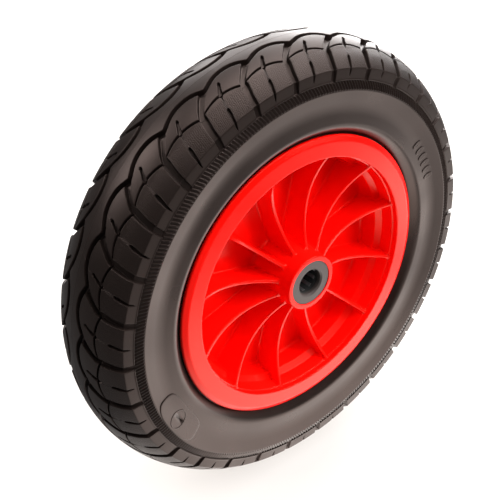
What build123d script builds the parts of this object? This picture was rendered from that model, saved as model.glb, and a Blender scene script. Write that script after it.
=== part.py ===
from build123d import *

import os
from math import cos, radians, sin, sqrt, tan

# Flat-free wheel for a barrow or cart: a moulded foam tyre on a one-piece plastic rim that
# turns on two caged roller bearings. Millimetres. The axle runs along Y, the front faces -Y,
# +Z is up and the origin is the centre of the wheel. Outlines are (radius, y) points drawn in
# the XY plane and turned about the Y axis.

# Tyre
tyre_diameter = 350.0
tyre_width = 79.0
crown_radius = 51.0            # radius of the tread seen in cross-section
tread_edge_inset = 2.8         # the tread's edge lies this far inside the widest point
shoulder_height = 8.0          # plain bevel below the tread
shoulder_lean = 0.8            # how far the bevel spreads over that height
shoulder_step = 0.7            # drop from the bevel to the band below it
band_height = 6.2              # band of fine ridges around the sidewall
sidewall_dish = 3.0            # depth of the shallow dish between band and bead roll
dish_corner = 40.0
bead_roll_radius = 6.0
bead_roll_inset = 2.4          # the bead roll stands this far inside the widest point
bead_face_gap = 0.3            # between the tyre and the rim's flange
well_gap = 0.5                 # between the tyre and the rim's well
hoop_wire_diameter = 3.0
hoop_gap = 0.05                # between the wire and its groove
hoop_inset = 5.4               # from the bead's face to the middle of the wire
hoop_cover = 0.8               # from the bead seat to the wire
seat_lead_in = 3.0             # where the tyre leaves the bead seat
tyre_corners = {"tread": 1.0, "shoulder": 0.5, "step": 0.3, "band": 2.5, "lip": 0.6, "bead": 2.2,
                "seat": 1.0, "well": 3.0}

# Rim
rim_diameter = 223.0
rim_face_width = 70.6          # across the flat faces of the two flanges
bead_seat_diameter = 203.0
seat_taper = 0.7               # the bead seat falls this much towards the middle
seat_width = 11.5
well_diameter = 189.0
well_width = 22.0
flange_thickness = 5.8
flange_slope = 1.3             # the back of the flange leans out by this much
lip_fall = 0.4                 # the flange's face falls this much at the lip
lip_corner = 2.2
mouth_diameter = 191.2         # inner edge of the flange's flat face
mouth_depth = 4.2              # short wall behind that edge
mouth_draft = 0.3
ledge_width = 1.1
ledge_fall = 0.6
barrel_wall = 5.6              # the well's wall, measured radially
barrel_draft = 0.9
web_thickness = 5.0
web_corner = 4.0
rim_corners = {"well": 3.0, "seat": 2.0, "lip_back": 1.3, "mouth": 0.6, "ledge": 0.4, "step": 1.6,
               "hub_end": 0.8}

# Ribs on each side of the web
rib_count = 12
rib_thickness = 2.4
rib_phase = 18.0               # degrees from +X towards +Z
rib_hub_drop = 9.0             # from the hub's face to the rib's inner end
rib_flange_drop = 2.2          # from the flange's face to the rib's outer end
rib_sag = 12.0                 # how far the rib's edge hangs below its two ends
rib_embed = 1.6                # the rib runs this far into the hub and the barrel
rib_edge_round = 0.9

# Hub and bearings
hub_length = 80.0
hub_ring_width = 3.7           # the hub's wall around the end cap
hub_draft = 0.8
hub_root_spread = 4.0          # the hub is this much wider at the web
axle_diameter = 20.0
axle_clearance = 0.25          # radial, between the axle and the end caps
roller_diameter = 4.9
roller_length = 20.0
roller_count = 10
roller_chamfer = 0.3
roller_play = 0.05             # radial, on each side of a roller
sleeve_wall = 1.5
sleeve_length = 26.0
sleeve_chamfer = 0.3
cap_lip = 1.25                 # the end cap covers the sleeve and this much more
cap_thickness = 4.0
cap_recess = 0.5
cap_chamfer = 0.8
cage_sleeve_gap = 0.25
cage_axle_gap = 0.45
cage_end_gap = 0.3
cage_pocket_gap = 0.12
land_clearance = 3.5           # radial, between the axle and the hub's middle

# Worked out: bearings
axle_radius = axle_diameter / 2
roller_radius = roller_diameter / 2
roller_orbit = axle_radius + roller_play + roller_radius
sleeve_inner_radius = roller_orbit + roller_radius + roller_play
sleeve_outer_radius = sleeve_inner_radius + sleeve_wall
cap_outer_radius = sleeve_outer_radius + cap_lip
cap_bore_radius = axle_radius + axle_clearance
hub_end_y = hub_length / 2
cap_outer_y = hub_end_y - cap_recess
cap_inner_y = cap_outer_y - cap_thickness
sleeve_inner_y = cap_inner_y - sleeve_length
bearing_y = (cap_inner_y + sleeve_inner_y) / 2
land_radius = axle_radius + land_clearance
hub_radius = cap_outer_radius + hub_ring_width
cage_outer_radius = sleeve_inner_radius - cage_sleeve_gap
cage_inner_radius = axle_radius + cage_axle_gap

# Worked out: rim
rim_radius = rim_diameter / 2
face_y = rim_face_width / 2
seat_radius = bead_seat_diameter / 2
seat_outer_y = face_y - flange_thickness
seat_inner_y = seat_outer_y - seat_width
lip_back_y = seat_outer_y + flange_slope
well_radius = well_diameter / 2
well_y = well_width / 2
mouth_radius = mouth_diameter / 2
ledge_y = face_y - mouth_depth
ledge_radius = mouth_radius - ledge_width
barrel_radius = well_radius - barrel_wall
step_outer_y = seat_inner_y + barrel_wall / 2
step_inner_y = well_y + barrel_wall
web_y = web_thickness / 2
rib_hub_y = hub_end_y - rib_hub_drop
rib_flange_y = face_y - rib_flange_drop

# Worked out: tyre
tyre_radius = tyre_diameter / 2
widest_y = tyre_width / 2
tread_edge_y = widest_y - tread_edge_inset
tread_edge_radius = tyre_radius - crown_radius + sqrt(crown_radius**2 - tread_edge_y**2)
shoulder_radius = tread_edge_radius - shoulder_height
shoulder_y = tread_edge_y + shoulder_lean
band_inner_radius = shoulder_radius - band_height
bead_face_y = seat_outer_y - bead_face_gap
bead_outer_radius = rim_radius + 2 * bead_face_gap
bead_outer_y = lip_back_y - bead_face_gap
bead_roll_reach = bead_outer_radius + bead_roll_radius
dish_radius = (band_inner_radius + bead_roll_reach) / 2
hoop_y = bead_face_y - hoop_inset
hoop_wire_radius = hoop_wire_diameter / 2
hoop_radius = seat_radius + hoop_cover + hoop_wire_radius
groove_half = hoop_wire_radius + hoop_gap


def seat_radius_at(y):
    """Radius of the tapered bead seat at a distance y from the middle."""
    return seat_radius - seat_taper * (seat_outer_y - y) / seat_width


def rounded(face, points):
    """Rounds the outline's corners, each by no more than its two sides have room for."""
    for i, (r, y, corner) in enumerate(points):
        if corner == 0:
            continue
        here = Vector(r, y)
        before = Vector(*points[i - 1][:2]) - here
        after = Vector(*points[(i + 1) % len(points)][:2]) - here
        half_angle = radians(before.get_angle(after)) / 2
        room = 0.48 * min(before.length, after.length) * tan(half_angle)
        vertex = min(face.vertices(), key=lambda v: (v.center() - here).length)
        face = face.fillet_2d(min(corner, room), [vertex])
    return face


def turned(points, crown_radius_at_middle=None):
    """Turns a closed outline about Y. The last side can be an arc over the middle plane."""
    ends = [(r, y) for r, y, _ in points]
    if crown_radius_at_middle is None:
        wire = Wire([*Polyline(*ends, close=True).edges()])
    else:
        crown = ThreePointArc(ends[-1], (crown_radius_at_middle, 0), ends[0])
        wire = Wire([*Polyline(*ends).edges(), *crown.edges()])
    return revolve(rounded(Face(wire), points), axis=Axis.Y)


def both_halves(half):
    """An outline from its half at y > 0 and that half's mirror image."""
    return half + [(r, -y, corner) for r, y, corner in reversed(half)]


def on_side(shape, side):
    """A shape made for the back, at y > 0, as it is on that side or mirrored to the front."""
    return shape if side == "back" else mirror(shape, about=Plane.XZ)


def rim_body():
    """Flanges, drop-centre barrel, web and hub in one turned shape."""
    return turned(both_halves([
        (well_radius, well_y, rim_corners["well"]),
        (seat_radius - seat_taper, seat_inner_y, rim_corners["seat"]),
        (seat_radius, seat_outer_y, rim_corners["seat"]),
        (rim_radius, lip_back_y, rim_corners["lip_back"]),
        (rim_radius, face_y - lip_fall, lip_corner),
        (mouth_radius, face_y, rim_corners["mouth"]),
        (mouth_radius - mouth_draft, ledge_y, rim_corners["ledge"]),
        (ledge_radius, ledge_y - ledge_fall, rim_corners["ledge"]),
        (ledge_radius - barrel_draft, step_outer_y, rim_corners["step"]),
        (barrel_radius + barrel_draft, step_inner_y, rim_corners["step"]),
        (barrel_radius, web_y, web_corner),
        (hub_radius + hub_root_spread, web_y, web_corner),
        (hub_radius + hub_draft, rib_hub_y, web_corner),
        (hub_radius, hub_end_y, rim_corners["hub_end"]),
        (cap_outer_radius, hub_end_y, 0),
        (cap_outer_radius, cap_inner_y, 0),
        (sleeve_outer_radius, cap_inner_y, 0),
        (sleeve_outer_radius, sleeve_inner_y, 0),
        (land_radius, sleeve_inner_y, 0),
    ]))


def rib():
    """One rib along +X on the back: a thin plate whose free edge hangs in an arc."""
    inner = hub_radius - rib_embed
    outer = mouth_radius + rib_embed
    middle_y = (rib_hub_y + rib_flange_y) / 2 - rib_sag
    sides = Polyline(
        (inner, rib_hub_y),
        (inner, 0),
        (barrel_radius + rib_embed, 0),
        (barrel_radius + rib_embed, step_inner_y),
        (ledge_radius + rib_embed, step_outer_y + rib_embed),
        (outer, ledge_y),
        (outer, rib_flange_y),
    )
    edge = ThreePointArc((outer, rib_flange_y), ((inner + outer) / 2, middle_y), (inner, rib_hub_y))
    face = Face(Wire([*sides.edges(), *edge.edges()]))
    plate = extrude(face, amount=rib_thickness / 2, both=True)
    return fillet(plate.edges().filter_by(GeomType.CIRCLE), min(rib_edge_round, 0.4 * rib_thickness))


def rim():
    """The rim with its ribs on both sides of the web."""
    plate = rib()
    pair = [plate, on_side(plate, "front")]
    step = 360 / rib_count
    ribs = [Rot(0, -(rib_phase + i * step), 0) * p for i in range(rib_count) for p in pair]
    return rim_body() + ribs


def tyre():
    """Foam tyre, plain outside, with a groove for each bead hoop in its seat."""
    return turned(both_halves([
        (tread_edge_radius, tread_edge_y, tyre_corners["tread"]),
        (shoulder_radius, shoulder_y, tyre_corners["shoulder"]),
        (shoulder_radius, shoulder_y - shoulder_step, tyre_corners["step"]),
        (band_inner_radius, widest_y, tyre_corners["band"]),
        (dish_radius, widest_y - sidewall_dish, dish_corner),
        (bead_roll_reach, widest_y - bead_roll_inset, bead_roll_radius),
        (bead_outer_radius, bead_outer_y, tyre_corners["lip"]),
        (seat_radius, bead_face_y, tyre_corners["bead"]),
        (seat_radius_at(hoop_y + groove_half), hoop_y + groove_half, 0),
        (hoop_radius + groove_half, hoop_y + groove_half, groove_half),
        (hoop_radius + groove_half, hoop_y - groove_half, groove_half),
        (seat_radius_at(hoop_y - groove_half), hoop_y - groove_half, 0),
        (seat_radius_at(seat_inner_y + seat_lead_in), seat_inner_y + seat_lead_in, 0),
        (seat_radius - seat_taper + well_gap, seat_inner_y, tyre_corners["seat"]),
        (well_radius + well_gap, well_y, tyre_corners["well"]),
    ]), tyre_radius)


def bead_hoop():
    """Steel wire hoop in the back bead."""
    return Location((0, hoop_y, 0)) * Rot(90, 0, 0) * Torus(hoop_radius, hoop_wire_radius)


def end_cap():
    """Ring that closes the bearing at the back and guides the axle."""
    return turned([
        (cap_outer_radius, cap_inner_y, 0),
        (cap_outer_radius, cap_outer_y - cap_chamfer / 2, 0),
        (cap_outer_radius - cap_chamfer / 2, cap_outer_y, 0),
        (cap_bore_radius + cap_chamfer, cap_outer_y, 0),
        (cap_bore_radius, cap_outer_y - cap_chamfer, 0),
        (cap_bore_radius, cap_inner_y, 0),
    ])


def bearing_sleeve():
    """Steel tube pressed into the hub at the back, the outer race of the rollers."""
    return turned([
        (sleeve_outer_radius, sleeve_inner_y, 0),
        (sleeve_outer_radius, cap_inner_y, 0),
        (sleeve_inner_radius + sleeve_chamfer, cap_inner_y, 0),
        (sleeve_inner_radius, cap_inner_y - sleeve_chamfer, 0),
        (sleeve_inner_radius, sleeve_inner_y + sleeve_chamfer, 0),
        (sleeve_inner_radius + sleeve_chamfer, sleeve_inner_y, 0),
    ])


def roller_place(index):
    """Middle of one of the back bearing's rollers."""
    angle = radians(90 + index * 360 / roller_count)
    return (roller_orbit * cos(angle), bearing_y, roller_orbit * sin(angle))


def roller(index):
    """One steel roller of the back bearing."""
    half = roller_length / 2
    shape = turned([
        (0, -half, 0),
        (roller_radius - roller_chamfer, -half, 0),
        (roller_radius, -half + roller_chamfer, 0),
        (roller_radius, half - roller_chamfer, 0),
        (roller_radius - roller_chamfer, half, 0),
        (0, half, 0),
    ])
    return Location(roller_place(index)) * shape


def roller_cage():
    """Ring with one open pocket for each roller of the back bearing."""
    body = turned([
        (cage_outer_radius, sleeve_inner_y + cage_end_gap, 0),
        (cage_outer_radius, cap_inner_y - cage_end_gap, 0),
        (cage_inner_radius, cap_inner_y - cage_end_gap, 0),
        (cage_inner_radius, sleeve_inner_y + cage_end_gap, 0),
    ])
    radius = roller_radius + cage_pocket_gap
    height = roller_length + 2 * cage_pocket_gap
    pocket = Rot(90, 0, 0) * Cylinder(radius, height)
    return body - [Location(roller_place(i)) * pocket for i in range(roller_count)]


def nodes():
    """Every piece of the wheel by name."""
    pieces = {"rim": rim(), "tyre": tyre()}
    paired = {
        "bead_hoop": bead_hoop(),
        "end_cap": end_cap(),
        "bearing_sleeve": bearing_sleeve(),
        "roller_cage": roller_cage(),
    }
    rollers = [roller(i) for i in range(roller_count)]
    for side in ("front", "back"):
        for name, shape in paired.items():
            pieces[f"{name}_{side}"] = on_side(shape, side)
        for i, shape in enumerate(rollers, start=1):
            pieces[f"roller_{side}_{i:02d}"] = on_side(shape, side)
    return pieces


os.makedirs("parts", exist_ok=True)
for node, shape in nodes().items():
    shape.label = node
    export_step(shape, f"parts/{node}.step")
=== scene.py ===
from math import cos, pi, radians, sin

import bmesh
import bpy
import numpy as np
from bpy.props import FloatProperty, FloatVectorProperty, IntProperty, PointerProperty
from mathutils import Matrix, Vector


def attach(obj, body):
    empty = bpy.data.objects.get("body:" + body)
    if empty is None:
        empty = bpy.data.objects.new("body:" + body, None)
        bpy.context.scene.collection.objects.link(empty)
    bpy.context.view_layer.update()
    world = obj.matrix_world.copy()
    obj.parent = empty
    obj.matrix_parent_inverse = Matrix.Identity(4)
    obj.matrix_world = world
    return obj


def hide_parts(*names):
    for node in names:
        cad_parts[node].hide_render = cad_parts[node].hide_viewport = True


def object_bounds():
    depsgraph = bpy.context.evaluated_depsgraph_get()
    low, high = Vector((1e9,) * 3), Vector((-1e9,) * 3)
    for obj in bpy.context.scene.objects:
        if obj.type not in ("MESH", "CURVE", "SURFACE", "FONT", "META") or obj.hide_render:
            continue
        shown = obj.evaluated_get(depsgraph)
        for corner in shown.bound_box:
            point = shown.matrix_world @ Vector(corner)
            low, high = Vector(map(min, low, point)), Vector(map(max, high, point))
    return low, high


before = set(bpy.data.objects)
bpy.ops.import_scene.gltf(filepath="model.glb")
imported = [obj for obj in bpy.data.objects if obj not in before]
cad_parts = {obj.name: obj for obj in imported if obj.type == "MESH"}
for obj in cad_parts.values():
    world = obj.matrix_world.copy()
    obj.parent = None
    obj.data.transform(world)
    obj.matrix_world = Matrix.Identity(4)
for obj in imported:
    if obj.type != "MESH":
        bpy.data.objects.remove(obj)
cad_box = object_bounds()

bl_info = {
    "name": "Flat-free Barrow Wheel",
    "version": (1, 0, 0),
    "blender": (4, 5, 0),
    "location": "3D View > Sidebar > Wheel",
    "description": "Builds the finished surfaces of a foam-tyred barrow wheel on its packed frame",
    "category": "Object",
}

MM = 0.001
SIDES = {"front": -1.0, "back": 1.0}
PITCHES = 30                 # tread pitches around the tyre
PITCH = 360.0 / PITCHES
FIRST_CUSP = 5.8             # degrees from +X towards +Z to the first cusp of the centre band
TREAD_END = 49.0             # along the tread from the middle to the foot of the bevel
TREAD_EDGE = 41.0            # along the tread from the middle to the top of the bevel
BEVEL_LEAN = 0.0995          # how far the bevel moves outwards for each mm along it
UV_RADIUS = 175.0            # the radius at which the tread's UV map measures round the tyre
TURNED_STEPS = 216           # columns of the pieces turned about the axle
MARK_STEPS = 96              # points around a mark on the sidewall


# Curves and grids

def smooth_curve(x, knots):
    """Cubic Hermite curve through the knots, with slopes from their neighbours."""
    xs, ys = np.array(knots, float).T
    slopes = np.gradient(ys, xs)
    i = np.clip(np.searchsorted(xs, x) - 1, 0, len(xs) - 2)
    span = xs[i + 1] - xs[i]
    t = np.clip((x - xs[i]) / span, 0, 1)
    return (ys[i] * (1 + 2 * t) * (1 - t) ** 2 + slopes[i] * span * t * (1 - t) ** 2
            + ys[i + 1] * t * t * (3 - 2 * t) - slopes[i + 1] * span * t * t * (1 - t))


def smoothstep(x, low, high):
    """0 below low, 1 above high, and 3t^2 - 2t^3 between."""
    t = np.clip((x - low) / (high - low), 0, 1)
    return t * t * (3 - 2 * t)


def rounded_outline(corners, steps=6, support=0.3):
    """Closed outline from (radius, y, corner radius) rows: each corner becomes an arc of a circle
    that touches both its sides, with one more point a little further along each side. An arc and
    its extra point each take less than half of the shorter side."""
    arc_share, extra_share = 0.47, 0.45
    rows = np.array(corners, float)
    p, corner = rows[:, :2], rows[:, 2]
    back, ahead = np.roll(p, 1, 0) - p, np.roll(p, -1, 0) - p
    lb, la = np.linalg.norm(back, axis=1), np.linalg.norm(ahead, axis=1)
    back, ahead = back / lb[:, None], ahead / la[:, None]
    half = np.arccos(np.clip((back * ahead).sum(1), -1, 1)) / 2
    reach = np.minimum(corner / np.tan(half), arc_share * np.minimum(lb, la))
    radius = reach * np.tan(half)
    middle = back + ahead
    middle = middle / np.maximum(np.linalg.norm(middle, axis=1), 1e-9)[:, None]
    centre = p + middle * (radius / np.sin(half))[:, None]
    start = p + back * reach[:, None]
    turn = pi - 2 * half
    cross = back[:, 0] * ahead[:, 1] - back[:, 1] * ahead[:, 0]
    sign = -np.sign(cross)
    angle = sign[:, None] * turn[:, None] * np.linspace(0, 1, steps + 1)
    arm = start - centre
    c, s = np.cos(angle), np.sin(angle)
    arc = centre[:, None] + np.stack([arm[:, :1] * c - arm[:, 1:] * s,
                                      arm[:, :1] * s + arm[:, 1:] * c], -1)
    extra = np.minimum(support, extra_share * (np.minimum(lb, la) - reach))[:, None]
    first, last = start + back * extra, p + ahead * (reach[:, None] + extra)
    return np.concatenate([first[:, None], arc, last[:, None]], 1).reshape(-1, 2)


def both_halves(half):
    """A closed outline from its half at y > 0 and that half's mirror image."""
    return half + [(r, -y, corner) for r, y, corner in reversed(half)]


def stretched(outline, longest):
    """The outline with every side longer than longest divided evenly."""
    ends = np.roll(outline, -1, 0)
    parts = np.maximum(1, np.ceil(np.linalg.norm(ends - outline, axis=1) / longest)).astype(int)
    which = np.repeat(np.arange(len(outline)), parts)
    share = (np.arange(len(which)) - np.repeat(np.cumsum(parts) - parts, parts)) / parts[which]
    return outline[which] * (1 - share[:, None]) + ends[which] * share[:, None]


def added(name, data):
    """A new object in the scene, made of its data."""
    made = bpy.data.objects.new(name, data)
    bpy.context.scene.collection.objects.link(made)
    return made


def surface(name, points, across_mm=None, closed_rows=True, attributes=None):
    """One closed surface of quads over a grid of points in millimetres, point [i, j] at row i and
    column j. Columns always close on themselves. If the volume under the quads, the sum of each
    quad's a . (b x c), comes out negative, they are turned over."""
    rows, columns = points.shape[:2]
    i = np.arange(rows if closed_rows else rows - 1)[:, None]
    j = np.arange(columns)[None, :]
    at = lambda a, b: (a % rows) * columns + b % columns
    quads = np.stack([at(i, j), at(i, j + 1), at(i + 1, j + 1), at(i + 1, j)], -1).reshape(-1, 4)
    flat = points.reshape(-1, 3)
    a, b, c, d = (flat[quads[:, k]] for k in range(4))
    volume = (a * np.cross(b, c)).sum() + (a * np.cross(c, d)).sum()
    order = [0, 1, 2, 3] if volume > 0 else [3, 2, 1, 0]
    mesh = bpy.data.meshes.new(name)
    mesh.vertices.add(len(flat))
    mesh.vertices.foreach_set("co", (flat * MM).astype(np.float32).ravel())
    mesh.loops.add(quads.size)
    mesh.loops.foreach_set("vertex_index", quads[:, order].astype(np.int32).ravel())
    mesh.polygons.add(len(quads))
    mesh.polygons.foreach_set("loop_start", np.arange(0, quads.size, 4, dtype=np.int32))
    mesh.polygons.foreach_set("use_smooth", np.ones(len(quads), bool))
    mesh.update(calc_edges=True)
    if across_mm is not None:
        # x: distance around the tyre, y: distance along the tread
        around = 2 * pi * UV_RADIUS / columns
        ii, jj = np.broadcast_arrays(i, j)
        corner_x = np.stack([jj, jj + 1, jj + 1, jj], -1).reshape(-1, 4) * around
        corner_y = across_mm.reshape(-1)[quads]
        uv = np.stack([corner_x, corner_y], -1)[:, order] * MM
        layer = mesh.uv_layers.new(name="UVMap")
        layer.data.foreach_set("uv", uv.astype(np.float32).ravel())
    for key, values in (attributes or {}).items():
        layer = mesh.attributes.new(key, "FLOAT", "POINT")
        layer.data.foreach_set("value", values.astype(np.float32).ravel())
    return added(name, mesh)


def around_axis(radius, y, degrees):
    """Points at a radius, a y and an angle from +X towards +Z."""
    a = np.radians(degrees)
    radius, y, a = np.broadcast_arrays(radius, y, a)
    return np.stack([radius * np.cos(a), y, radius * np.sin(a)], -1)


def turned(name, outline, columns=TURNED_STEPS):
    """A closed (radius, y) outline turned once about the axle."""
    angle = np.arange(columns)[None] * 360.0 / columns
    return surface(name, around_axis(outline[:, :1], outline[:, 1:], angle))


def joined(name, parts):
    """Several closed pieces as one object, with doubled points merged."""
    mesh = bmesh.new()
    for part in parts:
        used = part.data
        mesh.from_mesh(used)
        bpy.data.objects.remove(part)
        bpy.data.meshes.remove(used)
    bmesh.ops.remove_doubles(mesh, verts=mesh.verts, dist=1e-6)
    data = bpy.data.meshes.new(name)
    mesh.to_mesh(data)
    mesh.free()
    return added(name, data)


def fitted(piece, material, slot, *stands_for):
    """Gives a wheel piece its material and body, and says which CAD nodes it stands for. Its slot
    argument is not used.
    """
    piece.data.materials.clear()
    piece.data.materials.append(material)
    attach(piece, "wheel")
    if stands_for:
        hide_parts(*stands_for)
    return piece


# Tread

# A groove's wall: distance in mm from its top edge towards the groove, and share of the depth
WALL = np.array([(-0.60, 0.0), (-0.28, 0.0), (-0.10, 0.018), (0.02, 0.085), (0.12, 0.27),
                 (0.30, 0.80), (0.44, 0.95), (0.72, 1.0)])
# The cross grooves' two edges: degrees from the cusp, and mm along the tread from its middle
CENTRE_GROOVE_TOP = [(0, 9.7), (1, 8.05), (2, 6.4), (3, 5.3), (4, 4.65), (5.9, 4.25), (8, 4.9),
                     (9, 5.75), (10, 6.9), (11, 8.35), (12, 9.7)]
CENTRE_GROOVE_FOOT = [(0.2, 13.1), (1.1, 11.6), (1.8, 10.5), (2.5, 9.5), (3.5, 8.5), (4.6, 7.85),
                      (5.9, 7.55), (7, 7.75), (8, 8.25), (9, 9.05), (10, 10.25), (11, 11.7),
                      (12.2, 13.1)]
OUTER_GROOVE_TOP = [(5, 24.6), (6, 23.4), (7, 22.25), (8, 21.45), (9, 20.9), (10, 20.55),
                    (11.4, 20.35), (12.4, 20.5), (13.4, 21.0), (14.4, 21.65), (15.4, 22.5),
                    (16.2, 23.3), (17, 24.6)]
OUTER_GROOVE_FOOT = [(5, 26.1), (6, 25.1), (7, 23.95), (8, 23.1), (9, 22.5), (10, 22.15),
                     (11.4, 21.95), (12.6, 22.05), (13.6, 22.4), (14.6, 22.95), (15.6, 23.7),
                     (16.4, 24.5), (17, 26.1)]
# The channels and slits: mm along the tread, then their middle or half width in degrees
CHANNEL = [(0, 0), (6, 0), (9.7, 0), (11.5, 0.78), (13.3, 1.5), (17.4, 3.05), (20, 3.98),
           (23.6, 4.92), (26.5, 5.2), (30, 5.58), (35, 6.05), (41, 6.4), (49, 6.75)]
CHANNEL_HALF = [(0, 1.2), (13.3, 1.28), (17.4, 1.0), (20, 0.93), (23.6, 0.86), (26.5, 0.98),
                (30, 0.94), (35, 0.9), (41, 0.86), (49, 0.8)]
SLIT = [(0, 6.0), (6, 7.4), (10, 8.6), (12.6, 8.9), (14, 9.0), (15.6, 9.35), (18, 9.95),
        (20.7, 10.5), (24, 11.0), (28, 11.5), (31, 11.8), (33, 12.0), (36, 12.3), (40, 12.7),
        (46.6, 13.1), (49, 13.25)]
SLIT_HALF = [(12.5, 0.0), (12.8, 0.2), (13.3, 0.33), (14.2, 0.42), (16, 0.42), (22.5, 0.42),
             (24.5, 0.0), (30.8, 0.0), (31.1, 0.2), (31.6, 0.33), (32.5, 0.4), (38, 0.39),
             (42, 0.3), (45.5, 0.14), (46.8, 0.0)]
SLIT_PLACE = 0.13            # least half width that the slit's columns keep where it has none
# mm along the tread, then mm of depth
CHANNEL_DEPTH = [(0, 3.3), (36, 3.3), (41, 2.9), (45, 2.1), (49, 1.3)]
CENTRE_GROOVE_DEPTH = 4.4
OUTER_GROOVE_DEPTH = 3.1
SLIT_DEPTH = 2.3
PARTING_LINE, PARTING_HALF = 0.10, 0.16                 # height and half width
BEVEL_LIP, LIP_STARTS, LIP_STANDS = 0.22, 48.1, 48.6    # height, and where along the tread
KNURL_STARTS, KNURL_ENDS, KNURL_FADE = 24.0, 40.3, 0.6  # where along the tread
SETTLING_ROUNDS = 40         # rounds in which the tread's rows settle on their lines
# Where each ring of tread closes below its grooves, as (radius, y)
SKIRTS = {"crown": [(162.5, 17.0), (168.0, 0.0)],
          "shoulder": [(150.9, 37.0), (150.6, 36.4), (150.6, 31.5), (160.0, 17.0)]}


def periodic(x, knots):
    """A smooth curve that repeats every pitch, with a point where it starts again."""
    start = knots[0][0]
    return smooth_curve((x - start) % PITCH + start, knots)


def tread_profile(u, size):
    """(radius, y, radial and axial parts of the outward normal) at a distance u along the tread:
    an arc of the crown's radius, then the straight bevel, averaged over 1 mm so that the corner
    between them is round."""
    crown, top = size.crown_radius / MM, size.radius / MM
    step, width = 0.05, 21
    fine = np.arange(-2.0, TREAD_END + 2.0, step)
    arc = np.minimum(fine, TREAD_EDGE) / crown
    past = np.maximum(fine - TREAD_EDGE, 0)
    r = top - crown + crown * np.cos(arc) - past * (1 - BEVEL_LEAN**2) ** 0.5
    y = crown * np.sin(arc) + past * BEVEL_LEAN
    average = lambda v: np.convolve(np.pad(v, width // 2, "reflect", reflect_type="odd"),
                                    np.ones(width) / width, "valid")
    r, y = average(r), average(y)
    dr, dy = np.gradient(r), np.gradient(y)
    length = np.hypot(dr, dy)
    get = lambda v: np.interp(u, fine, v)
    return get(r), get(y), get(dy / length), get(-dr / length)


def tread_columns():
    """Columns across one pitch as rows of numbers: where each column is anchored, its distance
    from there in mm, and its share of the channel's and the slit's depth. Anchors: 0 middle of
    the channel, 1 its far edge, 2 near and 3 far edge of the slit, 4 near edge of the next
    channel, 5 to 9 parts of the way over a block."""
    out = [(0, 0.0, 1.0, 0.0), (0.5, 0.0, 1.0, 0.0)]
    out += [(1, -x, f, 0.0) for x, f in WALL[::-1]]
    out += [(1 + k / 6, 0.0, 0.0, 0.0) for k in (1, 2, 3, 4, 5)]
    out += [(2, x, 0.0, f) for x, f in WALL]
    out += [(2.5, 0.0, 0.0, 1.0)]
    out += [(3, -x, 0.0, f) for x, f in WALL[::-1]]
    out += [(3 + k / 6, 0.0, 0.0, 0.0) for k in (1, 2, 3, 4, 5)]
    out += [(4, x, f, 0.0) for x, f in WALL]
    out += [(4.5, 0.0, 1.0, 0.0)]
    return np.array(out)


def column_angle(columns, u, mm_per_degree):
    """Angle of each column at a distance u along the tread. Edges lie half a width either side of
    the channel's and the slit's middle lines, and a point between two edges is a share of
    the way."""
    middle, half = smooth_curve(u, CHANNEL), smooth_curve(u, CHANNEL_HALF)
    slit, slit_half = smooth_curve(u, SLIT), np.maximum(smooth_curve(u, SLIT_HALF), SLIT_PLACE)
    edges = np.stack([middle, middle + half, slit - slit_half, slit + slit_half,
                      middle + PITCH - half, middle + PITCH])
    anchor, away = columns[:, 0], columns[:, 1]
    low = np.floor(anchor).astype(int)
    share = np.broadcast_to(anchor - low, u.shape)
    edge_at = lambda k: np.take_along_axis(edges, np.broadcast_to(k, u.shape)[None], 0)[0]
    # points part of the way over a block keep clear of the rounded edges, by this many mm
    on_block = (share > 0) & ((low == 1) | (low == 3))
    clear = np.where(on_block, 0.62 / mm_per_degree, 0)
    low_edge, high_edge = edge_at(low) + clear, edge_at(np.minimum(low + 1, 5)) - clear
    angle = low_edge + share * (high_edge - low_edge)
    # points in the slit stay short of its middle, however narrow it is
    step = np.broadcast_to(away, u.shape) / mm_per_degree
    in_slit = ((low == 2) | (low == 3)) & (share == 0)
    inward = np.where(low == 2, step, -step)
    kept = np.where(inward > 0, np.minimum(inward, 0.9 * slit_half), inward)
    return angle + np.where(in_slit, np.where(low == 2, kept, -kept), step)


def tread_rows(part):
    """Rows along the tread as rows of numbers: the two key lines each lies between, its share of
    the way, a distance in mm, its share of the cross groove's depth, which groove that is, and
    whether the channels reach it. Key lines: 0 middle of the tread, 1 and 2 the centre groove's
    two edges, 3 and 4 the outer groove's, 5 top and 6 foot of the bevel."""
    if part == "crown":
        out = [(0, 1, 0, x, 0, 0, 0) for x in (0.0, 0.16, 0.3, 0.55, 1.3)]
        out += [(0, 1, t, 0, 0, 0, 0) for t in (0.45, 0.65, 0.83)]
        out += [(1, 1, 0, x, f, 0, f) for x, f in WALL]
        out += [(1, 2, 0.5, 0, 1, 0, 1)]
        out += [(2, 2, 0, -x, f, 0, 1) for x, f in WALL[::-1]]
        out += [(2, 3, t, 0, 0, 0, 1) for t in (0.1, 0.16, 0.22, 0.27, 0.3, 0.33, 0.36, 0.4, 0.46,
                                                0.54, 0.63, 0.72, 0.81, 0.9)]
        out += [(3, 3, 0, x, f, 1, 1) for x, f in WALL]
        return np.array(out, float)
    out = [(4, 4, 0, -x, f, 1, 1) for x, f in WALL[::-1]]
    out += [(4, 5, t, 0, 0, 1, 1) for t in (0.09, 0.17, 0.25, 0.33, 0.40, 0.44, 0.462, 0.482, 0.505,
                                            0.54, 0.6, 0.68, 0.76, 0.84, 0.91, 0.955)]
    out += [(5, 5, 0, x, 0, 1, 1) for x in (-0.5, -0.25, 0.0, 0.25, 0.5)]
    out += [(5, 6, t, 0, 0, 1, 1) for t in (0.16, 0.3, 0.44, 0.56, 0.64, 0.7, 0.76, 0.84)]
    out += [(6, 6, 0, x, 0, 1, 1) for x in (-0.85, -0.6, -0.4, -0.2, 0.0)]
    return np.array(out, float)


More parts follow.
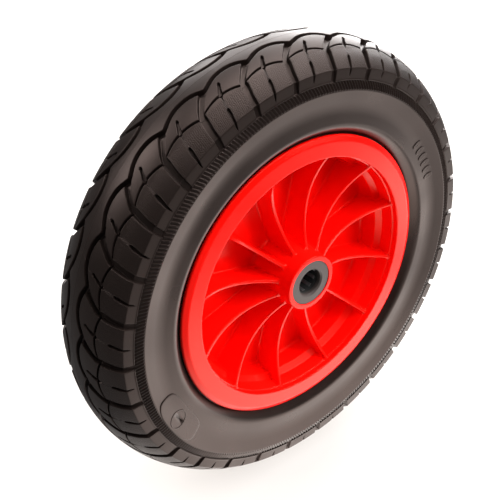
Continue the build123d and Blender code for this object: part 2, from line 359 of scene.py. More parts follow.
def tread(name, part, side, size):
    """Half a ring of tread. Each point starts on the smooth crown and is sunk along the crown's
    normal by the deepest of the grooves over it: the scalloped cross grooves follow rows, the
    slanted channels and the short slits follow columns, so that every edge lies on the grid.
    Rows depend on the angle and columns on the distance, so the two are settled in turn."""
    columns, rows = tread_columns(), tread_rows(part)
    shape = (len(rows), len(columns))
    lower, upper = rows[:, 0].astype(int), rows[:, 1].astype(int)
    share, away, in_cross, which_cross, in_channel = (rows[:, k:k + 1] for k in range(2, 7))
    u = np.broadcast_to(np.linspace(5, 45, len(rows))[:, None], shape).copy()
    for _ in range(SETTLING_ROUNDS):
        radius = tread_profile(u, size)[0]
        angle = column_angle(columns, u, radius * pi / 180)
        curves = (CENTRE_GROOVE_TOP, CENTRE_GROOVE_FOOT, OUTER_GROOVE_TOP, OUTER_GROOVE_FOOT)
        lines = np.stack([np.zeros(shape), *(periodic(angle, curve) for curve in curves),
                          np.full(shape, TREAD_EDGE), np.full(shape, TREAD_END)])
        pick = lambda k: np.take_along_axis(lines, np.broadcast_to(k[:, None], shape)[None], 0)[0]
        aim = pick(lower) * (1 - share) + pick(upper) * share + away
        u = 0.4 * u + 0.6 * aim
    u = aim
    cross = in_cross * np.where(which_cross == 0, CENTRE_GROOVE_DEPTH, OUTER_GROOVE_DEPTH)
    channel = columns[None, :, 2] * in_channel * smooth_curve(u, CHANNEL_DEPTH)
    slit_half = np.maximum(smooth_curve(u, SLIT_HALF), 0.0)
    slit = columns[None, :, 3] * in_channel * SLIT_DEPTH * smoothstep(slit_half, 0.02, 0.24)
    depth = np.maximum(np.maximum(cross, channel), slit)
    # a thin lip at the bevel's foot
    on_block = 1 - smoothstep(depth, 0.2, 0.8)
    depth = depth - BEVEL_LIP * smoothstep(u, LIP_STARTS, LIP_STANDS) * on_block
    block = (depth < 0.12).astype(float)
    knurl = (block * smoothstep(u, KNURL_STARTS, KNURL_STARTS + KNURL_FADE)
             * (1 - smoothstep(u, KNURL_ENDS, KNURL_ENDS + KNURL_FADE)))
    # a fine parting line is left standing around the middle
    depth = depth + PARTING_LINE * (1 - np.exp(-(u / PARTING_HALF) ** 2))
    radius, y, normal_r, normal_y = tread_profile(u, size)
    radius, y = radius - depth * normal_r, y - depth * normal_y
    # the skirt closes the ring below the grooves
    skirt = np.array(SKIRTS[part])
    below = np.ones((len(skirt), shape[1]))
    radius = np.concatenate([radius, skirt[:, :1] * below])
    y = np.concatenate([y, skirt[:, 1:] * below])
    angle, u = np.concatenate([angle, angle[-1:] * below]), np.concatenate([u, u[-1:] * below])
    knurl = np.concatenate([knurl, 0 * below])
    turns = np.arange(PITCHES) * PITCH + FIRST_CUSP
    full = (angle[:, None, :] + turns[None, :, None]).reshape(len(angle), -1)
    repeat = lambda v: np.tile(v, (1, PITCHES))
    points = around_axis(repeat(radius), SIDES[side] * repeat(y), full)
    return surface(name, points, across_mm=repeat(u), attributes={"knurl": repeat(knurl)})


def ridge_band(name, side, size):
    """Ring of fine ridges below the bevel. Its height over a smooth cone is a rounded pulse that
    repeats once a degree, faded out at both edges of the band, and each ridge leans a little."""
    across = np.array([0.0, 0.10, 0.2, 0.30, 0.46, 0.72])      # parts of a ridge's pitch
    pulse = np.array([0.25, 0.9, 1.0, 0.85, 0.12, 0.0])        # height at each of them
    r = np.array([151.2, 150.95, 150.75, 150.5, 149.6, 148.4, 147.2, 146.1, 145.6, 145.35, 145.1,
                  144.4])
    fade = np.array([0, 0, 0.35, 0.95, 1, 1, 1, 1, 0.9, 0.35, 0, 0])
    (top_r, top_y), (foot_r, foot_y) = (151.2, 36.55), (145.1, 39.15)
    cone = top_y + (top_r - r) * (foot_y - top_y) / (top_r - foot_r)
    cone[-1] = 38.2          # the last row tucks under the sidewall
    y = cone[:, None] + size.ridge_height / MM * fade[:, None] * np.tile(pulse, size.ridges)[None]
    angle = (np.arange(size.ridges)[:, None] + across[None]).reshape(-1) * 360.0 / size.ridges
    lean = (top_r - r) / 6.0 * 0.9
    grid_r = np.broadcast_to(r[:, None], y.shape)
    grid_angle = angle[None] - lean[:, None]
    inside_r = np.array([[144.4], [150.2], [151.2]]) + 0 * angle[None]
    inside_y = np.array([[33.0], [31.0], [33.0]]) + 0 * angle[None]
    points = around_axis(np.concatenate([grid_r, inside_r]),
                         SIDES[side] * np.concatenate([y, inside_y]),
                         np.concatenate([grid_angle, np.repeat(grid_angle[-1:], 3, 0)]))
    return surface(name, points)


def tyre_outline():
    """Sidewalls, beads and the carcass below the tread."""
    return stretched(rounded_outline(both_halves([
        (168.3, 4.0, 2.0), (163.0, 18.0, 8.0), (155.5, 31.0, 6.0), (150.4, 36.2, 0.5),
        (145.0, 39.35, 2.2), (131.6, 36.5, 40.0), (118.1, 37.1, 6.0), (112.1, 30.5, 0.6),
        (101.5, 29.2, 2.2), (101.2, 18.0, 1.0), (95.2, 11.5, 3.0),
    ]), steps=12), longest=2.5)


def raised_pad(name, side, middle, radius, half_angle, half_height, corner, height,
               thickness=1.6):
    """A low pad on the sidewall: a rounded rectangle over angle and radius, lifted off the dish and
    rolled over at its edge. The grid runs from the pad's middle outwards, as polar rings."""
    rings = np.array([0.02, 0.3, 0.6, 0.85, 0.94, 0.97, 0.99, 1.0, 1.012])
    lift = np.array([1, 1, 1, 1, 1, 0.93, 0.6, 0.0, -1.0])
    turn = np.linspace(0, 2 * pi, MARK_STEPS, endpoint=False)
    # superellipse: |x|^corner + |z|^corner = 1
    power = 2 / corner
    x = np.sign(np.cos(turn)) * np.abs(np.cos(turn)) ** power
    z = np.sign(np.sin(turn)) * np.abs(np.sin(turn)) ** power
    angle = middle + rings[:, None] * x[None] * half_angle
    r = radius + rings[:, None] * z[None] * half_height
    y = sidewall_y(r) + lift[:, None] * height
    back_r, back_y = r[::-1], sidewall_y(r[::-1]) - thickness
    points = np.concatenate([around_axis(r, SIDES[side] * y, angle),
                             around_axis(back_r, SIDES[side] * back_y, angle[::-1])])
    return surface(name, points)


def sidewall_y(radius):
    """Height of the sidewall's outside at a radius, read off the tyre's outline."""
    outline = tyre_outline()
    # its outer face alone, from the bead roll to the ridge band
    outer = outline[(outline[:, 1] > 33) & (outline[:, 0] < 145.5) & (outline[:, 0] > 113.5)]
    outer = outer[np.argsort(outer[:, 0])]
    return np.interp(radius, outer[:, 0], outer[:, 1])


def ring_mark(name, side, middle, radius, ring_radius, half_width, height):
    """A plain raised ring on the pad, a half-round bead carried along a circle."""
    along = np.linspace(0, 2 * pi, MARK_STEPS, endpoint=False)
    section = np.linspace(0, 2 * pi, 12, endpoint=False)
    reach = ring_radius + half_width * np.cos(section)[:, None] + 0 * along[None]
    angle = middle + np.degrees(reach * np.cos(along)[None] / radius)
    r = radius + reach * np.sin(along)[None]
    y = sidewall_y(r) + height * 0.7 + height * np.sin(section)[:, None]
    return surface(name, around_axis(r, SIDES[side] * y, angle))


# Rim

# Half of the rim's outline as (radius, y, corner radius), from the well round by the hub
RIM_HALF = [
    (94.5, 11.0, 3.0), (100.8, 18.0, 2.0), (101.5, 29.5, 2.0), (111.5, 30.8, 1.3),
    (111.5, 33.3, 1.6), (107.2, 35.1, 3.5), (95.6, 35.3, 0.7), (95.3, 31.1, 0.35),
    (94.5, 30.5, 0.4), (93.6, 20.8, 1.6), (89.8, 16.6, 1.6), (88.9, 2.5, 3.2), (25.45, 2.5, 4.0),
    (22.25, 31.0, 4.0), (21.45, 40.0, 0.8), (17.75, 40.0, 0.35), (17.75, 35.5, 0.2),
    (16.5, 35.5, 0.2), (16.5, 9.5, 0.2), (13.5, 9.5, 0.3),
]
WEB_Y = 2.5                  # half the thickness of the web


def barrel_radius(y):
    """Inside radius of the barrel at a height over the middle plane."""
    return np.interp(y, [0, WEB_Y, 16.6, 20.8, 30.5, 31.1, 35.3],
                     [88.9, 88.9, 89.8, 93.6, 94.5, 95.3, 95.6])


def hub_outside(y):
    """Outside radius of the hub tube at a height over the middle plane."""
    return np.interp(y, [0, WEB_Y, 31.0, 40.0], [25.45, 25.45, 22.25, 21.45])


def rib_edge_y(radius):
    """Height of a rib's free edge: an arc from the hub to the flange that hangs between them."""
    inner, outer, low, high, sag = 19.85, 97.2, 31.0, 33.1, 12.0
    share = (radius - inner) / (outer - inner)
    return low + (high - low) * share - 4 * sag * share * (1 - share)


def rib(side, degrees, size):
    """One rib. Half its thickness is the plate's, plus draft towards the web, less the rounding at
    its free edge, plus a fillet that grows as sqrt falls within one fillet radius of the web, the
    hub or the barrel."""
    plate, fillet, draft, edge_round = size.rib_thickness / MM / 2, 1.6, 0.012, 0.85
    straight, hub_end, barrel_end = np.linspace(31, 84, 34), 21.5, 84
    across = np.concatenate([[18.5], hub_end + np.array([0, 0.5, 1, 1.6, 2.3, 3.2, 4.2, 5.4, 7]),
                             straight,
                             barrel_end + np.array([1.5, 2.6, 3.4, 4.0, 4.4, 4.8, 5.2, 5.8, 6.6,
                                                    7.4, 8.2, 9.0, 9.8, 10.5, 11.2, 12.2])])
    edge = rib_edge_y(across)[:, None]
    foot = np.array([1.2, 2.3, 2.55, 2.75, 3.05, 3.5, 4.1, 5.0])[None]
    crest = edge - np.array([0.85, 0.6, 0.4, 0.22, 0.1, 0.03, 0.0])[None]
    share = np.array([0.12, 0.25, 0.38, 0.5, 0.62, 0.74, 0.86])[None]
    foot_top, crest_foot = 5.0, edge - 1.3
    between = foot_top + (crest_foot - foot_top) * share
    y = np.concatenate([foot + 0 * edge, between, crest_foot, crest], 1)
    r = across[:, None] + 0 * y
    near = [y - WEB_Y, r - hub_outside(y), barrel_radius(y) - r]
    short = np.sqrt(sum(np.clip(fillet - d, 0, fillet) ** 2 for d in near))
    flare = fillet - np.sqrt(np.maximum(fillet**2 - np.minimum(short, fillet) ** 2, 0))
    half = plate + draft * np.clip(edge - y, 0, 30) + flare
    from_edge = np.clip(edge - y, 0, edge_round)
    half = half - edge_round + np.sqrt(edge_round**2 - (edge_round - from_edge) ** 2)
    half[0] = half[-1] = 0.0
    y = np.concatenate([y, y[:, ::-1]], 1)
    r = np.concatenate([r, r[:, ::-1]], 1)
    half = np.concatenate([half, -half[:, ::-1]], 1)
    a = radians(degrees)
    points = np.stack([r * cos(a) - half * sin(a), SIDES[side] * y, r * sin(a) + half * cos(a)], -1)
    return surface("rib", points, closed_rows=False)


# Materials

def new_material(name):
    """An empty node material and its shader, with the two joined to the output."""
    material = bpy.data.materials.new(name)
    material.use_nodes = True
    tree = material.node_tree
    tree.nodes.clear()
    out = tree.nodes.new("ShaderNodeOutputMaterial")
    shader = tree.nodes.new("ShaderNodeBsdfPrincipled")
    tree.links.new(shader.outputs[0], out.inputs[0])
    return material, tree, shader


def node(tree, kind, inputs=None, **settings):
    """A node with its settings, its inputs given as values or as other nodes' outputs."""
    made = tree.nodes.new(kind)
    for key, value in settings.items():
        setattr(made, key, value)
    for key, value in (inputs or {}).items():
        if isinstance(value, bpy.types.NodeSocket):
            tree.links.new(value, made.inputs[key])
        else:
            made.inputs[key].default_value = value
    return made


def group(name, inputs, outputs, fill):
    """A shader node group, built once, with named sockets."""
    if name in bpy.data.node_groups:
        return bpy.data.node_groups[name]
    tree = bpy.data.node_groups.new(name, "ShaderNodeTree")
    for key, kind, default in inputs:
        socket = tree.interface.new_socket(key, in_out="INPUT", socket_type=kind)
        if default is not None:
            socket.default_value = default
    for key, kind in outputs:
        tree.interface.new_socket(key, in_out="OUTPUT", socket_type=kind)
    into, out = tree.nodes.new("NodeGroupInput"), tree.nodes.new("NodeGroupOutput")
    fill(tree, into.outputs, out.inputs)
    return tree


def moulded_grain():
    """Skin of a moulding: fine grain over slow waves, as one height between 0 and 1."""
    def fill(tree, given, out):
        place = given["Vector"]
        fine = node(tree, "ShaderNodeTexNoise", {"Vector": place, "Scale": given["Grain Scale"],
                                                 "Detail": 3.0, "Roughness": 0.6})
        slow = node(tree, "ShaderNodeTexNoise", {"Vector": place, "Scale": given["Wave Scale"],
                                                 "Detail": 1.0})
        mix = node(tree, "ShaderNodeMix", {"Factor": given["Wave Share"], "A": fine.outputs[0],
                                           "B": slow.outputs[0]}, data_type="FLOAT")
        tree.links.new(mix.outputs[0], out["Height"])
        tree.links.new(slow.outputs[0], out["Waves"])
    return group("Moulded grain",
                 [("Vector", "NodeSocketVector", None), ("Grain Scale", "NodeSocketFloat", 900.0),
                  ("Wave Scale", "NodeSocketFloat", 14.0), ("Wave Share", "NodeSocketFloat", 0.3)],
                 [("Height", "NodeSocketFloat"), ("Waves", "NodeSocketFloat")], fill)


def handling_marks():
    """Faint dust and rubs: patches where a colour turns paler, and their mask."""
    def fill(tree, given, out):
        patch = node(tree, "ShaderNodeTexNoise", {"Vector": given["Vector"], "Detail": 5.0,
                                                  "Scale": given["Patch Scale"], "Roughness": 0.65})
        ramp = ranged(tree, patch.outputs[0], (0.42, 0.78), (0.0, 1.0))
        amount = node(tree, "ShaderNodeMath", {0: ramp, 1: given["Amount"]}, operation="MULTIPLY")
        colour = node(tree, "ShaderNodeMix", {"Factor": amount.outputs[0], "A": given["Colour"],
                                              "B": given["Dust"]}, data_type="RGBA")
        tree.links.new(amount.outputs[0], out["Mask"])
        tree.links.new(colour.outputs["Result"], out["Colour"])
    return group("Handling marks",
                 [("Vector", "NodeSocketVector", None), ("Colour", "NodeSocketColor", None),
                  ("Dust", "NodeSocketColor", None), ("Patch Scale", "NodeSocketFloat", 25.0),
                  ("Amount", "NodeSocketFloat", 0.3)],
                 [("Mask", "NodeSocketFloat"), ("Colour", "NodeSocketColor")], fill)


def placed(tree, made, inputs):
    """A group's node in a material, with its inputs filled."""
    return node(tree, "ShaderNodeGroup", inputs, node_tree=made)


def ranged(tree, value, given, wanted, **settings):
    """A value with its range given laid over the range wanted."""
    inputs = {"Value": value, "From Min": given[0], "From Max": given[1], "To Min": wanted[0],
              "To Max": wanted[1]}
    return node(tree, "ShaderNodeMapRange", inputs, **settings).outputs[0]


def rgba(colour):
    """A colour of three numbers as a socket takes it."""
    return (*colour, 1.0)


def worked_material(name, colour, dust, patches, amount, grain, waves, wave_share, bump, depth,
                    dull, along=None):
    """A material coloured by the handling marks and bumped by the moulded grain. dull names what
    the roughness follows, the range given and the roughness at its two ends. The grain's
    coordinates are multiplied by along."""
    material, tree, shader = new_material(name)
    place = node(tree, "ShaderNodeTexCoord").outputs["Object"]
    marks = placed(tree, handling_marks(), {"Vector": place, "Colour": rgba(colour),
                                            "Dust": rgba(dust), "Patch Scale": patches,
                                            "Amount": amount}).outputs
    tree.links.new(marks["Colour"], shader.inputs["Base Color"])
    if along:
        place = node(tree, "ShaderNodeMapping", {"Vector": place, "Scale": along}).outputs[0]
    skin = placed(tree, moulded_grain(), {"Vector": place, "Grain Scale": grain,
                                          "Wave Scale": waves, "Wave Share": wave_share}).outputs
    source, given, wanted = dull
    followed = marks[source] if source == "Mask" else skin[source]
    tree.links.new(ranged(tree, followed, given, wanted), shader.inputs["Roughness"])
    raised = node(tree, "ShaderNodeBump", {"Height": skin["Height"], "Strength": bump,
                                           "Distance": depth}).outputs[0]
    tree.links.new(raised, shader.inputs["Normal"])
    return material, tree, shader, raised


def foam_skin(name, knurled=False):
    """Skin of the foam tyre: warm black, faintly mottled, with a fine grain. The tread's is duller,
    and its outer blocks get a close pattern of small raised dots where the knurl attribute is 1."""
    if name in bpy.data.materials:
        return bpy.data.materials[name]
    size = bpy.context.scene.wheel_tyre
    roughness = size.roughness + (0.12 if knurled else 0.0)
    material, tree, shader, raised = worked_material(
        name, size.colour, size.dust_colour, patches=32.0, amount=0.35, grain=1300.0, waves=30.0,
        wave_share=0.35, bump=0.25, depth=0.00012,
        dull=("Waves", (0.3, 0.7), (roughness - 0.04, roughness + 0.08)))
    shader.inputs["Specular IOR Level"].default_value = 0.55
    shader.inputs["Specular Tint"].default_value = (1.0, 0.74, 0.66, 1.0)
    if knurled:
        cells = node(tree, "ShaderNodeUVMap", uv_map="UVMap")
        scale = node(tree, "ShaderNodeMapping", {"Vector": cells.outputs[0],
                                                 "Scale": (2100.0, 1350.0, 1.0)})
        dots = node(tree, "ShaderNodeTexVoronoi", {"Vector": scale.outputs[0], "Scale": 1.0,
                                                   "Randomness": 0.55}, voronoi_dimensions="2D")
        mask = node(tree, "ShaderNodeAttribute", attribute_name="knurl")
        height = node(tree, "ShaderNodeMath", {0: dots.outputs["Distance"],
                                               1: mask.outputs["Fac"]}, operation="MULTIPLY")
        knurl = node(tree, "ShaderNodeBump", {"Height": height.outputs[0], "Strength": 0.9,
                                              "Distance": 0.0002, "Normal": raised}, invert=True)
        tree.links.new(knurl.outputs[0], shader.inputs["Normal"])
    return material


def rim_plastic():
    """Glossy moulded polypropylene: one strong colour, slightly wavy like all thick mouldings."""
    name = "rim_plastic"
    if name in bpy.data.materials:
        return bpy.data.materials[name]
    size = bpy.context.scene.wheel_rim
    material, _, shader, _ = worked_material(
        name, size.colour, size.worn_colour, patches=18.0, amount=0.25, grain=420.0, waves=55.0,
        wave_share=0.75, bump=0.15, depth=0.0003,
        dull=("Waves", (0.3, 0.7), (size.roughness - 0.03, size.roughness + 0.05)))
    shader.inputs["Specular IOR Level"].default_value = 0.4
    shader.inputs["Specular Tint"].default_value = (1.0, 0.62, 0.42, 1.0)
    return material


def nylon(name, colour, roughness):
    """Satin moulded nylon with a fine grain and faint rubs, duller where it is rubbed."""
    if name in bpy.data.materials:
        return bpy.data.materials[name]
    return worked_material(
        name, colour, [min(1, c * 2.2) for c in colour], patches=130.0, amount=0.4, grain=2200.0,
        waves=120.0, wave_share=0.3, bump=0.3, depth=0.00008,
        dull=("Mask", (0.0, 0.4), (roughness, roughness + 0.15)))[0]


def ground_steel(name, colour, roughness):
    """Ground or drawn steel: fine streaks around the axle and a thin film of grease."""
    if name in bpy.data.materials:
        return bpy.data.materials[name]
    grease = (0.12, 0.09, 0.05)
    material, _, shader, _ = worked_material(
        name, colour, grease, patches=160.0, amount=0.5, grain=900.0, waves=90.0, wave_share=0.2,
        bump=0.2, depth=0.00004, dull=("Height", (0.3, 0.7), (roughness, roughness + 0.2)),
        along=(1.0, 12.0, 1.0))
    shader.inputs["Metallic"].default_value = 1.0
    return material


# Sizes and colours a user would change

class WheelTyre(bpy.types.PropertyGroup):
    radius: FloatProperty(
        name="Radius", description="Radius of the tyre at the middle of its tread",
        default=round(cad_box[1].x, 4), min=0.1, max=0.3, unit="LENGTH")
    crown_radius: FloatProperty(
        name="Crown radius", description="Radius of the tread seen in cross-section",
        default=0.051, min=0.04, max=0.2, unit="LENGTH")
    ridges: IntProperty(
        name="Ridges", description="Fine ridges around each sidewall's band",
        default=360, min=60, max=720)
    ridge_height: FloatProperty(
        name="Ridge height", description="How far the fine ridges stand up",
        default=0.0008, min=0, max=0.002, unit="LENGTH")
    roughness: FloatProperty(
        name="Roughness", description="Roughness of the foam skin",
        default=0.30, min=0.1, max=1.0, subtype="FACTOR")
    colour: FloatVectorProperty(
        name="Colour", description="Colour of the foam skin",
        subtype="COLOR", default=(0.0085, 0.0058, 0.0050), min=0, max=1)
    dust_colour: FloatVectorProperty(
        name="Dust", description="Colour of the faint dust on the skin",
        subtype="COLOR", default=(0.015, 0.0105, 0.0088), min=0, max=1)


class WheelRim(bpy.types.PropertyGroup):
    ribs: IntProperty(
        name="Ribs", description="Ribs on each side of the web",
        default=12, min=3, max=24)
    rib_phase: FloatProperty(
        name="First rib", description="Angle of the first rib from +X towards +Z",
        default=radians(18), subtype="ANGLE")
    rib_thickness: FloatProperty(
        name="Rib thickness", description="Thickness of a rib's plate",
        default=0.0024, min=0.001, max=0.006, unit="LENGTH")
    roughness: FloatProperty(
        name="Roughness", description="Roughness of the rim's plastic",
        default=0.22, min=0.05, max=1.0, subtype="FACTOR")
    colour: FloatVectorProperty(
        name="Colour", description="Colour of the rim's plastic",
        subtype="COLOR", default=(0.90, 0.003, 0.0015), min=0, max=1)
    worn_colour: FloatVectorProperty(
        name="Rubbed colour", description="Colour where the rim is faintly rubbed",
        subtype="COLOR", default=(0.94, 0.010, 0.005), min=0, max=1)


class WheelHub(bpy.types.PropertyGroup):
    cap_colour: FloatVectorProperty(
        name="End cap", description="Colour of the two end caps",
        subtype="COLOR", default=(0.052, 0.040, 0.037), min=0, max=1)
    cage_colour: FloatVectorProperty(
        name="Cage", description="Colour of the roller cages",
        subtype="COLOR", default=(0.03, 0.03, 0.03), min=0, max=1)
    steel_colour: FloatVectorProperty(
        name="Steel", description="Colour of the bearings' steel",
        subtype="COLOR", default=(0.55, 0.55, 0.56), min=0, max=1)


class WheelStage(bpy.types.PropertyGroup):
    floor_colour: FloatVectorProperty(
        name="Floor", description="Colour of the plain floor",
        subtype="COLOR", default=(0.15, 0.15, 0.15), min=0, max=1)
    # the camera-seen white at the wheel's foot; more is added away from it, which paints shade
    # round the foot
    floor_glow: FloatProperty(
        name="Floor white", description="Adds to the floor where the camera sees it",
        default=0.80, min=0)
    pool_glow: FloatProperty(
        name="Pool glow", description="Light given off by the floor's bright pools",
        default=2.6, min=0)
    light: FloatProperty(
        name="Light", description="Power of which each soft light takes its share",
        default=30.0, min=0, unit="POWER")
    lens: FloatProperty(
        name="Lens", description="Focal length on a 36 mm sensor, in millimetres",
        default=66.96, min=20, max=200)
    azimuth: FloatProperty(
        name="Azimuth", description="Where the camera stands round the wheel",
        default=radians(-39.44), subtype="ANGLE")
    elevation: FloatProperty(
        name="Elevation", description="How high the camera stands",
        default=radians(32.42), subtype="ANGLE")
    distance: FloatProperty(
        name="Distance", description="From the camera to the point it aims at",
        default=0.6794, min=0.2, unit="LENGTH")
    aim: FloatVectorProperty(
        name="Aim", description="The point the camera aims at",
        subtype="TRANSLATION", default=(-0.0248, 0.0, 0.01885), unit="LENGTH")


# Operators

class WHEEL_OT_tread(bpy.types.Operator):
    """Build the tread: crown and shoulder rings on both sides"""
    bl_idname = "wheel.tread"
    bl_label = "Tread"

    def execute(self, context):
        size = context.scene.wheel_tyre
        skin = foam_skin("tread_skin", knurled=True)
        for side in SIDES:
            for part in ("crown", "shoulder"):
                name = f"tread_{part}_{side}"
                fitted(tread(name, part, side, size), skin, "tyre", "tyre")
        return {"FINISHED"}


class WHEEL_OT_ridge_bands(bpy.types.Operator):
    """Build the band of fine ridges on each side"""
    bl_idname = "wheel.ridge_bands"
    bl_label = "Ridge bands"

    def execute(self, context):
        for side in SIDES:
            made = ridge_band(f"ridge_band_{side}", side, context.scene.wheel_tyre)
            fitted(made, foam_skin("sidewall_skin"), "tyre", "tyre")
        return {"FINISHED"}


class WHEEL_OT_sidewalls(bpy.types.Operator):
    """Build the tyre's body with both sidewalls and beads"""
    bl_idname = "wheel.sidewalls"
    bl_label = "Sidewalls"

    def execute(self, context):
        fitted(turned("tyre_body", tyre_outline()), foam_skin("sidewall_skin"), "tyre", "tyre")
        return {"FINISHED"}


class WHEEL_OT_sidewall_marks(bpy.types.Operator):
    """Build the plain pad with its ring and the row of plain bars on each sidewall"""
    bl_idname = "wheel.sidewall_marks"
    bl_label = "Sidewall marks"

    def execute(self, context):
        skin = foam_skin("sidewall_skin")
        for side in SIDES:
            pad = raised_pad("pad", side, middle=207.8, radius=135.6, half_angle=11.0,
                             half_height=9.6, corner=3.4, height=0.55)
            ring = ring_mark("ring", side, middle=207.6, radius=136.2, ring_radius=6.9,
                             half_width=0.55, height=0.5)
            fitted(joined(f"mark_pad_{side}", [pad, ring]), skin, "tyre", "tyre")
            bars = [raised_pad("bar", side, middle=20.5 + 3.1 * i, radius=131.0, half_angle=0.9,
                               half_height=4.2, corner=2.6, height=0.45) for i in range(6)]
            fitted(joined(f"mark_bars_{side}", bars), skin, "tyre", "tyre")
        return {"FINISHED"}


class WHEEL_OT_rim_shell(bpy.types.Operator):
    """Build the rim's flanges, barrel, web and hub as one turned piece"""
    bl_idname = "wheel.rim_shell"
    bl_label = "Rim shell"

    def execute(self, context):
        outline = stretched(rounded_outline(both_halves(RIM_HALF)), longest=6.0)
        fitted(turned("rim_shell", outline), rim_plastic(), "rim", "rim")
        return {"FINISHED"}


class WHEEL_OT_ribs(bpy.types.Operator):
    """Build the ribs on both sides of the web"""
    bl_idname = "wheel.ribs"
    bl_label = "Ribs"

    def execute(self, context):
        size = context.scene.wheel_rim
        first = size.rib_phase * 180 / pi
        for side in SIDES:
            made = [rib(side, first + i * 360 / size.ribs, size) for i in range(size.ribs)]
            fitted(joined(f"ribs_{side}", made), rim_plastic(), "rim", "rim")
        return {"FINISHED"}


class WHEEL_OT_end_caps(bpy.types.Operator):
    """Build the two end caps"""
    bl_idname = "wheel.end_caps"
    bl_label = "End caps"

    def execute(self, context):
        colour = context.scene.wheel_hub.cap_colour
        for side, sign in SIDES.items():
            outline = rounded_outline([(17.73, 35.5, 0.2), (17.73, 39.3, 0.35), (17.2, 39.5, 0.25),
                                       (11.5, 39.5, 0.3), (10.25, 38.4, 0.4), (10.25, 35.5, 0.2)])
            made = turned(f"end_cap_{side}_moulding", outline * np.array([1.0, sign]), columns=192)
            fitted(made, nylon("cap_nylon", colour, 0.42), "end_cap", f"end_cap_{side}")
        return {"FINISHED"}


class WHEEL_OT_bearings(bpy.types.Operator):
    """Finish the sleeves, cages, rollers and bead hoops"""
    bl_idname = "wheel.bearings"
    bl_label = "Bearings and hoops"

    def execute(self, context):
        hub = context.scene.wheel_hub
        steel = ground_steel("bearing_steel", hub.steel_colour, 0.25)
        cage = nylon("cage_nylon", hub.cage_colour, 0.38)
        wire = ground_steel("hoop_wire", (0.42, 0.40, 0.38), 0.4)
        for name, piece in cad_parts.items():
            if name in ("rim", "tyre") or name.startswith("end_cap"):
                continue
            finish = (cage if name.startswith("roller_cage") else
                      wire if name.startswith("bead_hoop") else steel)
            piece.data.materials.clear()
            piece.data.materials.append(finish)
        return {"FINISHED"}


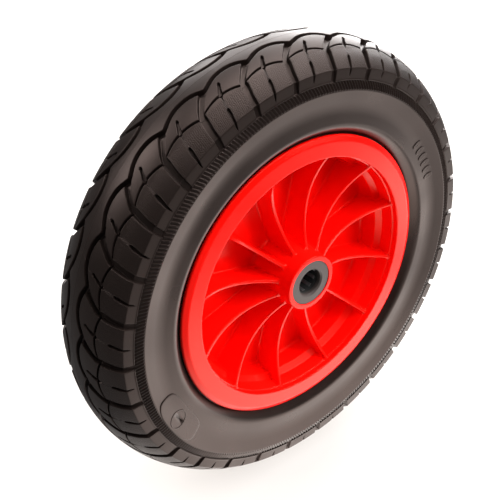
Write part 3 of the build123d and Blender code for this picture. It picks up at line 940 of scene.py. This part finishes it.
class WHEEL_OT_stage(bpy.types.Operator):
    """Set the floor, the soft lights and the camera"""
    bl_idname = "wheel.stage"
    bl_label = "Stage"

    def execute(self, context):
        size = context.scene.wheel_stage
        count, reach = 13, 3000.0
        across = np.linspace(-reach, reach, count)
        ground = np.full((count, count), cad_box[0].z / MM)
        points = np.stack([*np.meshgrid(across, across, indexing="ij"), ground], -1).reshape(-1, 3)
        first = np.arange(count - 1)
        quads = (first[:, None] * count + first).reshape(-1, 1) + [0, count, count + 1, 1]
        mesh = bpy.data.meshes.new("floor")
        mesh.from_pydata((points * MM).tolist(), [], quads.tolist())
        floor = added("floor", mesh)
        material, tree, shader = new_material("floor_paper")
        place = node(tree, "ShaderNodeTexCoord").outputs["Object"]
        marks = placed(tree, handling_marks(), {"Vector": place, "Colour": rgba(size.floor_colour),
                                                "Dust": rgba([c * 0.99 for c in size.floor_colour]),
                                                "Patch Scale": 2.0, "Amount": 0.5})
        tree.links.new(marks.outputs["Colour"], shader.inputs["Base Color"])
        shader.inputs["Roughness"].default_value = 0.9
        shader.inputs["Specular IOR Level"].default_value = 0.1
        shader.inputs["Emission Color"].default_value = (1.0, 0.94, 0.89, 1.0)
        # two bright pools for the wheel to reflect; the camera sees a white floor instead, a little
        # brighter away from the wheel, which paints shade on the floor round the wheel's foot
        away = lambda x, y: node(tree, "ShaderNodeVectorMath", {0: place, 1: (x, y, cad_box[0].z)},
                                 operation="DISTANCE").outputs["Value"]
        glow = 0.0
        for where, inner, outer in (((0.08, -0.05), 0.13, 0.31), ((0.47, -0.22), 0.08, 0.27)):
            pool = ranged(tree, away(*where), (inner, outer), (size.pool_glow, 0.0),
                          interpolation_type="SMOOTHSTEP")
            glow = node(tree, "ShaderNodeMath", {0: pool, 1: glow}, operation="MAXIMUM").outputs[0]
        # painted shade: the white the camera sees is lowest at the wheel's foot and rises away from
        # it
        plain = ranged(tree, away(0, 0), (0.05, 0.24), (size.floor_glow, size.floor_glow + 0.4))
        seen = node(tree, "ShaderNodeLightPath")
        white = node(tree, "ShaderNodeMix", {0: seen.outputs["Is Camera Ray"], 2: glow, 3: plain})
        tree.links.new(white.outputs[0], shader.inputs["Emission Strength"])
        mesh.materials.append(material)

        # the world is white to the camera and nearly dark to everything else
        world = bpy.data.worlds.new("studio")
        world.use_nodes = True
        sky = world.node_tree.nodes["Background"]
        sky.inputs["Color"].default_value = (1.0, 1.0, 1.0, 1.0)
        seen = node(world.node_tree, "ShaderNodeLightPath").outputs["Is Camera Ray"]
        strength = node(world.node_tree, "ShaderNodeMath", {0: seen, 1: 1.0, 2: 0.05},
                        operation="MULTIPLY_ADD")
        world.node_tree.links.new(strength.outputs[0], sky.inputs["Strength"])
        context.scene.world = world
        context.scene.view_settings.view_transform = "Standard"
        # name, place, width and height, share of the light, and whether gloss reflects it
        soft_lights = [
            ("key", (1.15, -1.05, 0.72), (1.3, 1.0), 1.45, False),
            ("front", (0.15, -0.9, 1.25), (1.3, 1.0), 0.45, False),
            ("overhead", (0.05, -0.1, 1.5), (0.9, 0.9), 0.35, True),
            ("side", (0.85, -0.05, 1.25), (0.9, 0.9), 0.45, True),
            ("low", (1.35, 0.95, 0.35), (0.8, 0.6), 0.55, True),
            ("behind", (1.1, 1.35, 1.0), (1.8, 1.2), 1.1, True),
            ("beside", (-1.05, 0.75, 1.15), (0.9, 0.9), 0.42, True),
        ]
        for name, where, (wide, high), share, glossy in soft_lights:
            light = bpy.data.lights.new(name, "AREA")
            light.shape, light.size, light.size_y = "RECTANGLE", wide, high
            light.energy = size.light * share
            holder = added(name, light)
            holder.location = where
            holder.visible_glossy = glossy
            holder.rotation_euler = (-Vector(where)).to_track_quat("-Z", "Y").to_euler()

        lens = bpy.data.cameras.new("camera")
        lens.lens, lens.sensor_width, lens.clip_start, lens.clip_end = size.lens, 36.0, 0.01, 50.0
        camera = added("camera", lens)
        level = cos(size.elevation)
        back = Vector((sin(size.azimuth) * level, -cos(size.azimuth) * level, sin(size.elevation)))
        camera.location = Vector(size.aim) + back * size.distance
        camera.rotation_euler = (-back).to_track_quat("-Z", "Y").to_euler()
        context.scene.camera = camera
        return {"FINISHED"}


BUILD = [WHEEL_OT_tread, WHEEL_OT_ridge_bands, WHEEL_OT_sidewalls, WHEEL_OT_sidewall_marks,
         WHEEL_OT_rim_shell, WHEEL_OT_ribs, WHEEL_OT_end_caps, WHEEL_OT_bearings, WHEEL_OT_stage]
SETTINGS = {"wheel_tyre": WheelTyre, "wheel_rim": WheelRim, "wheel_hub": WheelHub,
            "wheel_stage": WheelStage}


class WHEEL_PT_build(bpy.types.Panel):
    """Lists the wheel's sizes, colours and pieces"""
    bl_idname = "WHEEL_PT_build"
    bl_label = "Barrow wheel"
    bl_space_type = "VIEW_3D"
    bl_region_type = "UI"
    bl_category = "Wheel"

    def draw(self, context):
        for key, settings in SETTINGS.items():
            box = self.layout.box()
            for prop in settings.__annotations__:
                box.prop(getattr(context.scene, key), prop)
        for operator in BUILD:
            self.layout.operator(operator.bl_idname)


CLASSES = [*SETTINGS.values(), *BUILD, WHEEL_PT_build]


def register():
    for each in CLASSES:
        bpy.utils.register_class(each)
    for key, settings in SETTINGS.items():
        setattr(bpy.types.Scene, key, PointerProperty(type=settings))


def unregister():
    for key in SETTINGS:
        delattr(bpy.types.Scene, key)
    for each in reversed(CLASSES):
        bpy.utils.unregister_class(each)


def main():
    """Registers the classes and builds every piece."""
    register()
    bpy.ops.wheel.tread()
    bpy.ops.wheel.ridge_bands()
    bpy.ops.wheel.sidewalls()
    bpy.ops.wheel.sidewall_marks()
    bpy.ops.wheel.rim_shell()
    bpy.ops.wheel.ribs()
    bpy.ops.wheel.end_caps()
    bpy.ops.wheel.bearings()
    bpy.ops.wheel.stage()


if __name__ == "__main__":
    main()
